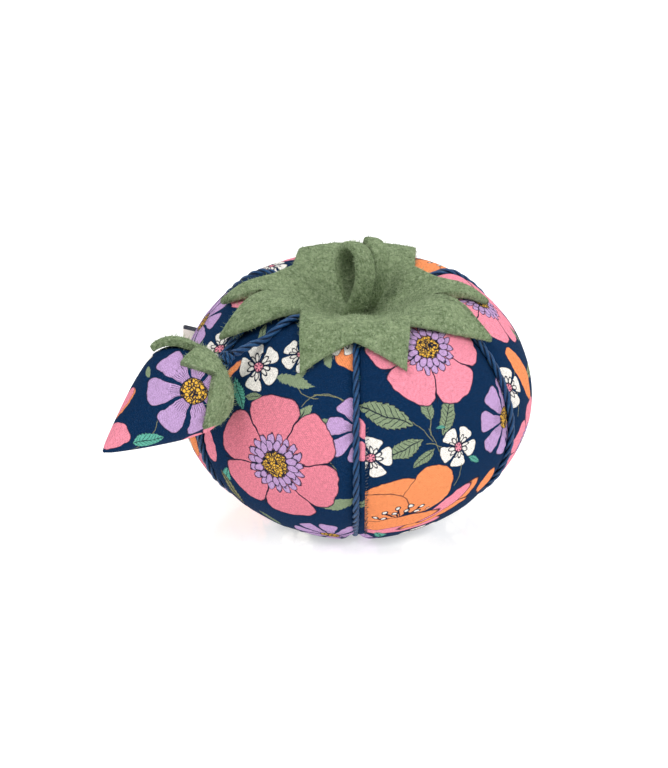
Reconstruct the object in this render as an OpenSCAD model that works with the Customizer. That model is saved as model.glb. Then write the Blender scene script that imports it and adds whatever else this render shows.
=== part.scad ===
// Tomato pin cushion: six printed cotton gores over a packed filling, six cord ribs, a felt leaf cap
// with a felt stem loop, and a small strawberry sharpener that hangs on a cord.
// Origin at the centre of the flat underside, +Z up, front at -Y. Millimetres.

/* [Cushion] */
// Diameter of the cushion at its belly
body_d = 90; // [86:1:94]
// Half height of the ellipsoid that the cover follows
belly_h = 35.7; // [34:0.1:37]
// Height of the belly above the table
belly_z = 31.5; // [30:0.1:33]
// Depth that the centre tie pulls the top down by
dimple_depth = 17.5; // [15:0.5:19]
// Radius at which the dimple fades out
dimple_r = 30; // [28:1:32]
// Thickness of the cotton cover with its interlining
cover_t = 0.8; // [0.6:0.1:1]

/* [Cords] */
// Diameter of the twisted cord of the ribs and the tether
cord_d = 2.1; // [1.8:0.1:2.2]
// Diameter of the thread that ties top to bottom
tie_d = 2; // [1.5:0.1:2.2]

/* [Felt] */
// Thickness of the leaf cap and the stem loop
felt_t = 2.1; // [1.8:0.1:2.3]
// Height of the leaf cap's underside above the cover
felt_lift = 3; // [2.8:0.1:3.2]
// Distance from the centre axis to the leaf tips
leaf_r = 37; // [34:1:38]
// Width of the strip that makes the stem loop
loop_w = 7; // [6:0.5:8]
// Height of the stem loop
loop_h = 20.4; // [18:0.2:22]
// Depth of the stem loop, from its front strand to its back strand
loop_depth = 14; // [12:0.5:15]

/* [Label] */
// Height of the folded woven label
label_h = 11.5; // [10:0.5:13]
// How far the label stands out of its seam
label_out = 6.4; // [5:0.2:7]
// Thickness of the folded label
label_t = 1; // [0.8:0.1:1.2]
// Height of the label's upper edge above the table
label_top = 39.6; // [38:0.2:42]

/* [Strawberry] */
// Diameter of the strawberry at its shoulder
berry_d = 22.8; // [21:0.2:23]
// Height of the rounded shoulder
dome_h = 10.1; // [9:0.1:10.5]
// Length from the shoulder's widest place to the tip
cone_h = 24.5; // [22:0.5:26]
// Thickness of the strawberry's leaf cap
berry_felt_t = 1.8; // [1.5:0.1:1.8]
// Lean of the strawberry's axis from upright
berry_tilt = 57; // [55:1:60]

/* [Hidden] */

body_r = body_d / 2;
cord_r = cord_d / 2;
gap = 0.05;            // sewing gap between touching pieces of one body
play = 0.1;            // room left round a cord
past = 1;              // how far a cutter reaches past the surface that it cuts
gores = 6;
gore_angle = 360 / gores;
front = -90;           // direction of the front rib
seam_half = cord_r + play;
stuffing_in = cover_t + gap;
rib_out = cord_r + gap - stuffing_in;   // cord centre above the cover: the cord rests on the stuffing
knot_r = 3;
knot_h = 2.6;
recess_r = knot_r + 0.5;
recess_h = knot_h + 1.3;
base_cord_z = cord_r + play;            // cord centre where the ribs run under the cushion
base_run_start = 4.2;
base_run_end = 21;
flank_start = -55;     // angle on the ellipsoid where a rib leaves the table
top_end = 83;          // angle on the ellipsoid where a rib ends under the leaf cap
slot_top = base_cord_z + cord_r + 1.9;  // top of the stuffing's slots, clear of the cords
slot_end = base_run_end + 4.4;          // where those slots run out into the flank

// Cover outline: distance from the axis and height at the angle b above the belly
function dimple(r) = r < dimple_r ? dimple_depth * pow(1 - pow(r / dimple_r, 2), 2) : 0;
function outline(b) =
    [body_r * cos(b), belly_z + belly_h * sin(b) - (b > 0 ? dimple(body_r * cos(b)) : 0)];

// Outward unit normal of an outline given as a function of an angle
function normal(f, b, turn) =
    let (p = f(b - 0.5), q = f(b + 0.5), t = (q - p) / norm(q - p))
    turn * [t[1], -t[0]];
function lifted(b, h) = outline(b) + h * normal(function(x) outline(x), b, 1);

// Strawberry outline at the angle q from its top: 0 top, 90 shoulder, 180 tip
cone_power = 1.25;     // 1 would be a straight cone; above it the sides bow a little
function berry_outline(q) =
    q < 90 ? [berry_d / 2 * sin(q), -dome_h * (1 - cos(q))]
           : let (down = (q - 90) / 90)
             [berry_d / 2 * (1 - pow(min(1, down), cone_power)), -dome_h - cone_h * down];
function berry_lifted(q, h) = berry_outline(q) + h * normal(function(x) berry_outline(x), q, -1);

// Solid of the cushion's shape, moved in by the distance in
module cushion_profile(in) {
    intersection() {
        polygon(concat([[0, -10]], [for (b = [-85:5:85]) lifted(b, -in)], [[0, lifted(90, -in)[1]]]));
        translate([0, in]) square([2 * body_r, 2 * body_d]);
    }
}

module berry_profile(in) {
    tip_wall = 2.2;    // the wall along the axis at the tip, in wall thicknesses
    polygon(concat(
        [[0, berry_outline(0)[1] - in]],
        [for (q = [10:10:170]) berry_lifted(q, -in)],
        [[0, berry_outline(180)[1] + tip_wall * in]]
    ));
}

// Round cord along a route of [distance, height] points in the XZ plane
module planar_cord(route, d, sides = 8) {
    last = len(route) - 1;
    function along(i) = route[min(i + 1, last)] - route[max(i - 1, 0)];
    points = [
        for (i = [0:last])
            let (t = along(i) / norm(along(i)))
            for (k = [0:sides - 1])
                let (a = 360 * k / sides, u = d / 2 * cos(a))
                [route[i][0] - u * t[1], d / 2 * sin(a), route[i][1] + u * t[0]]
    ];
    skin = [
        for (i = [0:last - 1])
            for (k = [0:sides - 1])
                let (n = (k + 1) % sides)
                [i * sides + k, i * sides + n, (i + 1) * sides + n, (i + 1) * sides + k]
    ];
    start = [for (k = [sides - 1:-1:0]) k];
    end = [for (k = [0:sides - 1]) last * sides + k];
    polyhedron(points, concat(skin, [start, end]));
}

// Felt sheet that follows a surface: at(angle, reach, height) gives a point in space, and
// edge(i) gives [angle, reach] of the leaf edge at step i
module felt_sheet(at, edge, steps, rings, inner, low, high) {
    points = [
        for (h = [low, high])
            for (k = [0:rings])
                for (i = [0:steps - 1])
                    let (e = edge(i), reach = inner + (e[1] - inner) * k / rings)
                    at(e[0], reach, h)
    ];
    sheet = (rings + 1) * steps;
    function id(side, k, i) = side * sheet + k * steps + i % steps;
    faces = concat(
        [for (k = [0:rings - 1]) for (i = [0:steps - 1])
            [id(1, k, i), id(1, k, i + 1), id(1, k + 1, i + 1), id(1, k + 1, i)]],
        [for (k = [0:rings - 1]) for (i = [0:steps - 1])
            [id(0, k, i), id(0, k + 1, i), id(0, k + 1, i + 1), id(0, k, i + 1)]],
        [for (i = [0:steps - 1]) [id(0, rings, i), id(1, rings, i), id(1, rings, i + 1), id(0, rings, i + 1)]],
        [for (i = [0:steps - 1]) [id(0, 0, i), id(0, 0, i + 1), id(1, 0, i + 1), id(1, 0, i)]]
    );
    polyhedron(points, faces);
}

// Flat slots along every rib, in which the cords lie
module rib_slots(height, z, r_start, r_end) {
    for (i = [0:gores - 1])
        rotate([0, 0, front + gore_angle * i])
            translate([r_start, -seam_half, z])
                cube([r_end - r_start, 2 * seam_half, height]);
}

module cover_panel(i) {
    color("midnightblue")
        difference() {
            rotate([0, 0, front + gore_angle * (i - 1)])
                rotate_extrude(angle = gore_angle, $fn = 96)
                    difference() {
                        cushion_profile(0);
                        cushion_profile(cover_t);
                    }
            rib_slots(2 * body_d, -body_d, 0, body_d);
            translate([0, 0, -past]) cylinder(r = recess_r, h = 2 * body_d, $fn = 48);
        }
}

module stuffing() {
    color("bisque")
        difference() {
            rotate_extrude($fn = 96) cushion_profile(stuffing_in);
            translate([0, 0, -past]) cylinder(d = tie_d + 2 * play, h = 2 * body_d, $fn = 48);
            translate([0, 0, -past]) cylinder(r = recess_r, h = recess_h, $fn = 48);
            rib_slots(slot_top, -past, recess_r - past, slot_end);
        }
}

module rib_cord(i) {
    route = concat(
        [for (r = [base_run_start:(base_run_end - base_run_start) / 4:base_run_end]) [r, base_cord_z]],
        [for (b = [flank_start:6:top_end]) lifted(b, rib_out)]
    );
    color("darkslateblue")
        rotate([0, 0, front + gore_angle * (i - 1)])
            planar_cord(route, cord_d);
}

tie_sunk = 0.2;        // depth of the tie's end below the leaf cap's upper face
tie_top = lifted(90, 0)[1] + felt_lift + felt_t - tie_sunk;

module centre_tie() {
    color("navy")
        translate([0, 0, knot_h + gap])
            cylinder(d = tie_d, h = tie_top - knot_h - gap, $fn = 32);
}

// Knot of the centre tie, pressed flat where the cushion rests on it
module base_knot() {
    rounding = 1;
    color("navy")
        rotate_extrude($fn = 48)
            union() {
                square([knot_r - rounding, knot_h]);
                square([knot_r, knot_h - rounding]);
                translate([knot_r - rounding, knot_h - rounding]) circle(r = rounding, $fn = 32);
            }
}

leaves = 8;
leaf_steps = 6;
leaf_rings = 8;
calyx_hole = 2.4;      // radius of the hole that the centre tie passes through
first_leaf = front - 180 / leaves;
// Distance from the axis to the bottom of each scallop, counted round from the front one
notch_r = [30, 25, 20, 22, 26, 21, 23.5, 19];

function leaf_edge(i) =
    let (leaf = floor(i / leaf_steps), u = (i % leaf_steps) / leaf_steps)
    [first_leaf + 360 / leaves * (leaf + u),
     notch_r[leaf] + (leaf_r - notch_r[leaf]) * pow(2 * u - 1, 2)];

function over_cover(angle, reach, height) =
    let (p = lifted(acos(reach / body_r), height))
    [p[0] * cos(angle), p[0] * sin(angle), p[1]];

module calyx() {
    color("darkseagreen")
        felt_sheet(
            function(angle, reach, height) over_cover(angle, reach, height),
            function(i) leaf_edge(i),
            leaves * leaf_steps, leaf_rings, calyx_hole, felt_lift, felt_lift + felt_t
        );
}

loop_turn = 20;        // turn of the loop's opening towards the front
loop_seat = 1.5;       // height of the loop's point above the end of the tie
loop_base = tie_top + loop_seat;
loop_points = 40;

// Pointed ring outline with its point down at the origin
function drop(w, h) = [
    for (k = [0:loop_points - 1])
        let (a = 360 * k / loop_points)
        [w / 2 * sin(a) * pow(abs(sin(a / 2)), 0.6), h / 2 * (1 - cos(a))]
];

module loop_strand(w, h, thickness, width) {
    point = 1.6 * thickness;   // the felt is pinched together at the point
    rotate([90, 0, 0])
        linear_extrude(height = width)
            difference() {
                polygon(drop(w, h));
                translate([0, point]) polygon(drop(w - 2 * thickness, h - point - thickness));
            }
}

// Coiled strip: a front strand, and a narrower second turn behind it on the right
module stem_loop() {
    second_w = 3.3;
    second_rise = 1;
    color("darkseagreen")
        translate([0, 0, loop_base])
            rotate([0, 0, 90 + loop_turn])
                translate([0, loop_w / 2, 0])
                    union() {
                        loop_strand(loop_depth, loop_h, felt_t, loop_w);
                        translate([0, -loop_w, 0])
                            loop_strand(loop_depth, loop_h + second_rise, felt_t, second_w);
                    }
}

// Folded woven label, held in the seam of the fifth rib
module label_tag() {
    seam = front + gore_angle * 4;
    color("linen")
        rotate([0, 0, seam])
            translate([body_r + play, seam_half + play, label_top - label_h])
                cube([label_out, label_t, label_h]);
}

// Tether: it leaves the notch between the front left leaves and runs to the strawberry
exit_r = 22;
exit_angle = 225;
exit_z = 60.4;
exit = [exit_r * cos(exit_angle), exit_r * sin(exit_angle), exit_z];
hang = [-31, -34, 57];   // centre of the knot on top of the strawberry
bead_r = 1.2;
berry_knot_r = 1.8;
knot_clear = 0.4;        // gap between the tether's end and the knot
end_rise = 0.5;          // height of the tether's end above the knot's centre
tether_run = norm([hang[0] - exit[0], hang[1] - exit[1]]);
tether_angle = atan2(hang[1] - exit[1], hang[0] - exit[0]);
// Tether route as [distance from the exit, height]
tether_route = [[1.7, 60.6], [4, 61.2], [7, 61.8], [10, 62], [13, 61.7], [16, 61], [19, 59.7]];
tether_end = [tether_run - berry_knot_r - knot_clear, hang[2] + end_rise];

module tether_cord() {
    color("navy")
        translate([exit[0], exit[1], 0])
            rotate([0, 0, tether_angle])
                planar_cord(concat(tether_route, [tether_end]), cord_d);
}

// Sewn end of the tether, hidden under the leaf cap, with the stitched bead at the notch
module tether_anchor() {
    tail_clear = 0.3;    // gap between the tail and the cover
    tail = [for (r = [14:2:20]) lifted(acos(r / body_r), cord_r + tail_clear)];
    color("navy")
        rotate([0, 0, exit_angle])
            union() {
                planar_cord(concat(tail, [[exit_r, exit_z]]), cord_d);
                translate([exit_r, 0, exit_z]) sphere(r = bead_r, $fn = 32);
            }
}

berry_turn = 18;
cap_clear = 0.3;       // gap on either side of the strawberry's leaf cap
cap_drop = berry_knot_r + cap_clear + berry_felt_t + cap_clear;   // knot centre above the strawberry's top
gather_hole = 2.4;
berry_cloth = 0.7;

module at_berry() {
    translate(hang)
        rotate([0, berry_tilt, berry_turn])
            translate([0, 0, -cap_drop])
                children();
}

module berry_knot() {
    color("navy")
        translate(hang) sphere(r = berry_knot_r, $fn = 32);
}

module berry_shell() {
    color("palevioletred")
        at_berry()
            difference() {
                rotate_extrude($fn = 72)
                    difference() {
                        berry_profile(0);
                        berry_profile(berry_cloth);
                    }
                translate([0, 0, -2]) cylinder(r = gather_hole, h = 4, $fn = 32);
            }
}

module berry_filling() {
    recess = 1.6;          // room for the gather thread
    color("dimgray")
        at_berry()
            difference() {
                rotate_extrude($fn = 72) berry_profile(berry_cloth + gap);
                translate([0, 0, -recess]) cylinder(r = gather_hole, h = 4, $fn = 32);
            }
}

// Thread that gathers the strawberry's open end
module berry_gather_thread() {
    thread_r = 0.5;
    ring_r = 1.6;
    depth = 0.9;
    color("navy")
        at_berry()
            translate([0, 0, -depth])
                rotate_extrude($fn = 48) translate([ring_r, 0]) circle(r = thread_r, $fn = 24);
}

cap_leaves = 5;
cap_steps = 12;
cap_tip = 95;          // angle on the strawberry's outline that the cap's leaf tips reach
cap_notch = 42;        // the same for the cuts between its leaves
cap_curve = 1.1;       // 1 gives straight leaf edges

function cap_edge(i) =
    let (u = (i % cap_steps) / cap_steps)
    [360 / cap_leaves * i / cap_steps, cap_notch + (cap_tip - cap_notch) * pow(abs(2 * u - 1), cap_curve)];

function over_berry(angle, reach, height) =
    let (p = berry_lifted(reach, height))
    [p[0] * cos(angle), p[0] * sin(angle), p[1]];

module berry_cap() {
    cap_inner = 8;
    color("darkseagreen")
        at_berry()
            felt_sheet(
                function(angle, reach, height) over_berry(angle, reach, height),
                function(i) cap_edge(i),
                cap_leaves * cap_steps, cap_steps, cap_inner, cap_clear, cap_clear + berry_felt_t
            );
}

cover_panel(1);  // cover_panel_1
cover_panel(2);  // cover_panel_2
cover_panel(3);  // cover_panel_3
cover_panel(4);  // cover_panel_4
cover_panel(5);  // cover_panel_5
cover_panel(6);  // cover_panel_6
rib_cord(1);  // rib_cord_1
rib_cord(2);  // rib_cord_2
rib_cord(3);  // rib_cord_3
rib_cord(4);  // rib_cord_4
rib_cord(5);  // rib_cord_5
rib_cord(6);  // rib_cord_6
stuffing();
centre_tie();
base_knot();
calyx();
stem_loop();
label_tag();
tether_anchor();
tether_cord();
berry_knot();
berry_shell();
berry_filling();
berry_cap();
berry_gather_thread();
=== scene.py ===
"""Tomato pin cushion with a strawberry sharpener: the visual model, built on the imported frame."""
import math

import bpy
import numpy as np
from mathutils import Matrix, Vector, noise


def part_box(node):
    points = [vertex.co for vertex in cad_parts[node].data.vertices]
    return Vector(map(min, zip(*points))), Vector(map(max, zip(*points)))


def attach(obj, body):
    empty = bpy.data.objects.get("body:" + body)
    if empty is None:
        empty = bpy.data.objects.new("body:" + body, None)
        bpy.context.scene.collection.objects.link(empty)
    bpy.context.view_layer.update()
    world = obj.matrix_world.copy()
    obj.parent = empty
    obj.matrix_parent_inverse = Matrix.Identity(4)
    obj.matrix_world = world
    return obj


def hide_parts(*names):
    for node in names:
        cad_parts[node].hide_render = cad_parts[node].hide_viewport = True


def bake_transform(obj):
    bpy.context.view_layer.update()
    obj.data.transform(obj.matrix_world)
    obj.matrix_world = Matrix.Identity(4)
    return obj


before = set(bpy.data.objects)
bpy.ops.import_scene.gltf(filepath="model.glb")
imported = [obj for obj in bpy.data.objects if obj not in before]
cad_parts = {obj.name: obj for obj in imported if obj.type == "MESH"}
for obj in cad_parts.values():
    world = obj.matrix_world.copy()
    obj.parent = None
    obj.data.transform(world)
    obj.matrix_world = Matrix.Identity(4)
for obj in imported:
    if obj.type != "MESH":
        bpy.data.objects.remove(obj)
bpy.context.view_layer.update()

MM = 0.001

# --- sizes, in millimetres
BODY_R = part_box("cover_panel_2")[1].x / MM  # belly radius
BELLY_Z = 31.5
BELLY_H = 35.7
DIMPLE_DEPTH = 17.5
DIMPLE_R = 30.0
GORES = 6
GORE_ANGLE = 360.0 / GORES
CORD_D = 2.0            # tether
RIB_D = 1.8             # rib cords, drawn tight
RIB_OUT = 0.08          # rib cord centre above the cover
RIB_SUNK = 1.3          # how much deeper it lies below the belly, where the cover draws in
BASE_CORD_Z = 1.15      # rib cord centre under the cushion
FELT_T = 2.1
COVER_T = 0.35          # printed cotton
FLOOR_GAP = 0.02        # least height of the cover above the floor
LABEL_TOP = 39.6
LABEL_BORDER = 0.7      # dark edge of the label
SEAM_OFFSET = 2.3       # closing seam, right of the front rib
SEAM_LOW = -34.0        # its ends, as distances up the cover from the belly
SEAM_HIGH = 14.0
CROWN = 0.05            # how far a gore stands out between its seams
TUCK = 1.2              # how far the cover draws in below the belly
STRIP_SHIFT = 60.0      # where the strip beside the closing seam lies in the print's plane

# Tether, repeated from part.scad
HANG = (-31.0, -34.0, 57.0)

# Strawberry, repeated from part.scad
BERRY_R = 11.4
DOME_H = 10.1
CONE_H = 24.5
BERRY_TILT = 57.0
BERRY_TURN = 18.0
BERRY_FELT_T = 1.8
BERRY_CLOTH_T = 0.3
CAP_DROP = 4.2          # from the knot to the strawberry's top
CONE_POWER = 1.25
BERRY_FACING = -120.0   # direction round the strawberry that faces the front


# --- small tools
def linear(*rgb):
    """Screen colour, 0 to 255, as the linear colour that shaders take."""
    def one(c):
        c = c / 255.0
        return c / 12.92 if c <= 0.04045 else ((c + 0.055) / 1.055) ** 2.4
    return tuple(one(c) for c in rgb) + (1.0,)


def rad(degrees):
    return degrees * math.pi / 180.0


def sin_deg(degrees):
    return math.sin(rad(degrees))


def cos_deg(degrees):
    return math.cos(rad(degrees))


def make_mesh(name, points_mm, faces, material, uv=None):
    """A mesh object from points in millimetres; uv is one pair per point."""
    mesh = bpy.data.meshes.new(name)
    points = np.asarray(points_mm, float) * MM
    mesh.from_pydata([tuple(p) for p in points], [], [tuple(int(i) for i in f) for f in faces])
    mesh.update()
    for polygon in mesh.polygons:
        polygon.use_smooth = True
    if uv is not None:
        layer = mesh.uv_layers.new(name="print")
        loops = np.zeros(len(mesh.loops), dtype=np.int32)
        mesh.loops.foreach_get("vertex_index", loops)
        layer.data.foreach_set("uv", np.asarray(uv, np.float32)[loops].ravel())
    mesh.materials.append(material)
    obj = bpy.data.objects.new(name, mesh)
    bpy.context.collection.objects.link(obj)
    return obj


def thicken(obj, thickness, offset=-1.0):
    """Gives a sheet its thickness in millimetres: inwards at offset -1, to both sides at 0."""
    modifier = obj.modifiers.new("thickness", "SOLIDIFY")
    modifier.thickness = thickness * MM
    modifier.offset = offset
    depsgraph = bpy.context.evaluated_depsgraph_get()
    done = bpy.data.meshes.new_from_object(obj.evaluated_get(depsgraph))
    obj.modifiers.clear()
    obj.data = done


def place(obj, body, slot, *nodes):
    """Puts a piece on its body and hides the CAD nodes it stands for; slot is not used."""
    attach(obj, body)
    if nodes:
        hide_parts(*nodes)


def grid_faces(rows, columns, wrap=False):
    """Quads of a grid of points stored row after row."""
    faces = []
    last = columns if wrap else columns - 1
    for i in range(rows - 1):
        for j in range(last):
            k = (j + 1) % columns
            faces.append((i * columns + j, i * columns + k, (i + 1) * columns + k, (i + 1) * columns + j))
    return faces


def tube_faces(rings, sides, start=0):
    """Faces of a tube of rings of points, with both ends filled; start is its first point."""
    last = start + (rings - 1) * sides
    faces = [tuple(start + n for n in face) for face in grid_faces(rings, sides, wrap=True)]
    faces.append(tuple(start + j for j in range(sides))[::-1])
    faces.append(tuple(last + j for j in range(sides)))
    return faces


def circle(centre, across, up, radius, sides, first=0.0):
    """Points round a centre, in the plane of two unit vectors."""
    angles = [first + 2 * math.pi * j / sides for j in range(sides)]
    return [centre + radius * (math.cos(a) * across + math.sin(a) * up) for a in angles]


def distance_along(path):
    """Length of a path up to each of its points."""
    steps = np.linalg.norm(np.diff(path, axis=0), axis=1)
    return np.concatenate([[0.0], np.cumsum(steps)])


def directions(path):
    """Unit vector along a path at each of its points."""
    tangent = np.gradient(path, axis=0)
    return tangent / np.linalg.norm(tangent, axis=1)[:, None]


def smooth_step(x):
    """0 below 0, 1 above 1, and a smooth rise between."""
    x = min(1.0, max(0.0, x))
    return x * x * (3 - 2 * x)


def bell(x):
    """1 at 0, and almost nothing beyond 2 on either side."""
    return math.exp(-(x ** 2))


# --- the cushion's shape
def outline(b):
    """Distance from the axis and height of the cover at the angle b above the belly."""
    r = BODY_R * cos_deg(b)
    z = BELLY_Z + BELLY_H * sin_deg(b)
    if b < 0:
        r -= TUCK * sin_deg(2 * b) ** 2
    if b > 0 and abs(r) < DIMPLE_R:
        z -= DIMPLE_DEPTH * (1 - (r / DIMPLE_R) ** 2) ** 2
    return np.array([r, z])


def stand_off(curve, at, height):
    """Point at a height beside a curve, to the right of the way it runs."""
    t = curve(at + 0.5) - curve(at - 0.5)
    t /= np.linalg.norm(t)
    return curve(at) + height * np.array([t[1], -t[0]])


def lifted(b, height):
    """Point of the outline, a height above the cover."""
    return stand_off(outline, b, height)


def around(r, z, azimuth):
    """Point at an azimuth counted from the front, positive to the right."""
    return (r * sin_deg(azimuth), -r * cos_deg(azimuth), z)


def over_cover(azimuth, reach, height):
    """Point above the upper half of the cover, at a distance from the axis."""
    r, z = lifted(math.degrees(math.acos(min(1.0, reach / BODY_R))), height)
    return around(r, z, azimuth)


def meridian():
    """Rows of a gore from under the cushion to the dimple: r, z, normal, distance from the belly."""
    lowest, step = -58.0, 1.5
    under = [(r, 0.0) for r in (3.6, 6.0, 8.5, 11.0, 13.5, 16.0, 18.0)]
    bend = [(20.0, 0.08), (21.8, 0.6)]
    flank = [tuple(outline(b)) for b in np.arange(lowest, 84.1, step)]
    path = np.array(under + bend + flank)
    tangent = directions(path)
    normal = np.stack([tangent[:, 1], -tangent[:, 0]], axis=1)
    along = distance_along(path)
    belly = len(under) + len(bend) + int(round(-lowest / step))
    return path, normal, along - along[belly]


# --- shader tools
class Paint:
    """Builds a material's nodes in order, each layer of colour over the ones before it."""

    def __init__(self, name):
        self.material = bpy.data.materials.new(name)
        self.material.use_nodes = True
        self.tree = self.material.node_tree
        self.tree.nodes.clear()
        self.colour = None

    def node(self, kind, **settings):
        n = self.tree.nodes.new(kind)
        for key, value in settings.items():
            setattr(n, key, value)
        return n

    def put(self, socket, value):
        if isinstance(value, bpy.types.NodeSocket):
            self.tree.links.new(value, socket)
        else:
            socket.default_value = value

    def math(self, operation, a, b=0.0, c=0.0, clamp=False):
        n = self.node("ShaderNodeMath", operation=operation, use_clamp=clamp)
        for socket, value in zip(n.inputs, (a, b, c)):
            self.put(socket, value)
        return n.outputs[0]

    def times(self, a, b):
        return self.math("MULTIPLY", a, b)

    def scaled(self, value, factor, shift):
        return self.math("MULTIPLY_ADD", value, factor, shift)

    def ramp(self, value, factor, shift):
        """The scaled and shifted value, cut off at 0 and 1."""
        return self.math("MULTIPLY_ADD", value, factor, shift, clamp=True)

    def set(self, node, **values):
        """Gives sockets their constants; an underscore stands for the space in a socket's name."""
        for name, value in values.items():
            node.inputs[name.replace("_", " ")].default_value = value

    def parts(self, vector):
        """The x, y and z of a vector."""
        n = self.node("ShaderNodeSeparateXYZ")
        self.put(n.inputs[0], vector)
        return n.outputs

    def vector_math(self, operation, a, b=(0.0, 0.0, 0.0)):
        n = self.node("ShaderNodeVectorMath", operation=operation)
        self.put(n.inputs[0], a)
        self.put(n.inputs[1], b)
        return n.outputs["Value"] if operation == "LENGTH" else n.outputs["Vector"]

    def noise(self, vector, scale, detail=2.0, roughness=0.5, colour=False):
        n = self.node("ShaderNodeTexNoise")
        self.put(n.inputs["Vector"], vector)
        self.set(n, Scale=scale, Detail=detail, Roughness=roughness)
        return n.outputs["Color"] if colour else n.outputs["Fac"]

    def stretch(self, vector, scale):
        return self.vector_math("MULTIPLY", vector, scale)

    def mix(self, amount, over, mode="MIX"):
        """Lays the colour over onto the colour so far, by amount."""
        n = self.node("ShaderNodeMix", data_type="RGBA", blend_type=mode)
        self.put(n.inputs["Factor"], amount)
        self.put(n.inputs[6], self.colour)
        self.put(n.inputs[7], over)
        self.colour = n.outputs[2]

    def blotch(self, value, factor, shift, over):
        """Lays a colour over where the scaled and shifted value is high."""
        self.mix(self.ramp(value, factor, shift), over)

    def bump(self, height, distance, strength=1.0):
        """Relief; distance is its depth in metres."""
        n = self.node("ShaderNodeBump")
        self.set(n, Strength=strength, Distance=distance)
        self.put(n.inputs["Height"], height)
        return n.outputs["Normal"]

    def painted_crease_shade(self, distance, dark):
        """Painted shade: darkens the colour where a piece comes close to itself, as shade falls in creases;
        dark is the least that is left.
        """
        n = self.node("ShaderNodeAmbientOcclusion", samples=8, only_local=True)
        self.set(n, Distance=distance)
        self.mix(1.0, self.scaled(n.outputs["AO"], 1 - dark, dark), "MULTIPLY")

    def finish(self, roughness, normal=None, specular=0.3, sheen=0.0, sheen_roughness=0.5, tint=None):
        """Joins the colour to a shader and gives the finished material."""
        shader = self.node("ShaderNodeBsdfPrincipled")
        self.put(shader.inputs["Base Color"], self.colour)
        self.put(shader.inputs["Roughness"], roughness)
        self.set(shader, Specular_IOR_Level=specular, Sheen_Weight=sheen, Sheen_Roughness=sheen_roughness)
        if tint is not None:
            self.set(shader, Sheen_Tint=tint)
        if normal is not None:
            self.put(shader.inputs["Normal"], normal)
        out = self.node("ShaderNodeOutputMaterial")
        self.tree.links.new(shader.outputs[0], out.inputs[0])
        return self.material


# --- the printed cotton
NAVY = linear(3, 38, 72)
DARK = linear(20, 26, 46)
PINK = linear(224, 134, 152)
CORAL = linear(212, 122, 138)
ORANGE = linear(228, 138, 88)
LAVENDER = linear(178, 146, 190)
WHITE = linear(224, 220, 213)
SAGE = linear(126, 142, 112)
OLIVE = linear(128, 128, 92)
TEAL = linear(92, 170, 150)
MUSTARD = linear(222, 172, 62)
EDGE = 0.11             # softness of a printed edge, in millimetres
TWILL = 0.62            # spacing of the weave's diagonals
STEM_W = 0.35           # width of a printed stem


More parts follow.
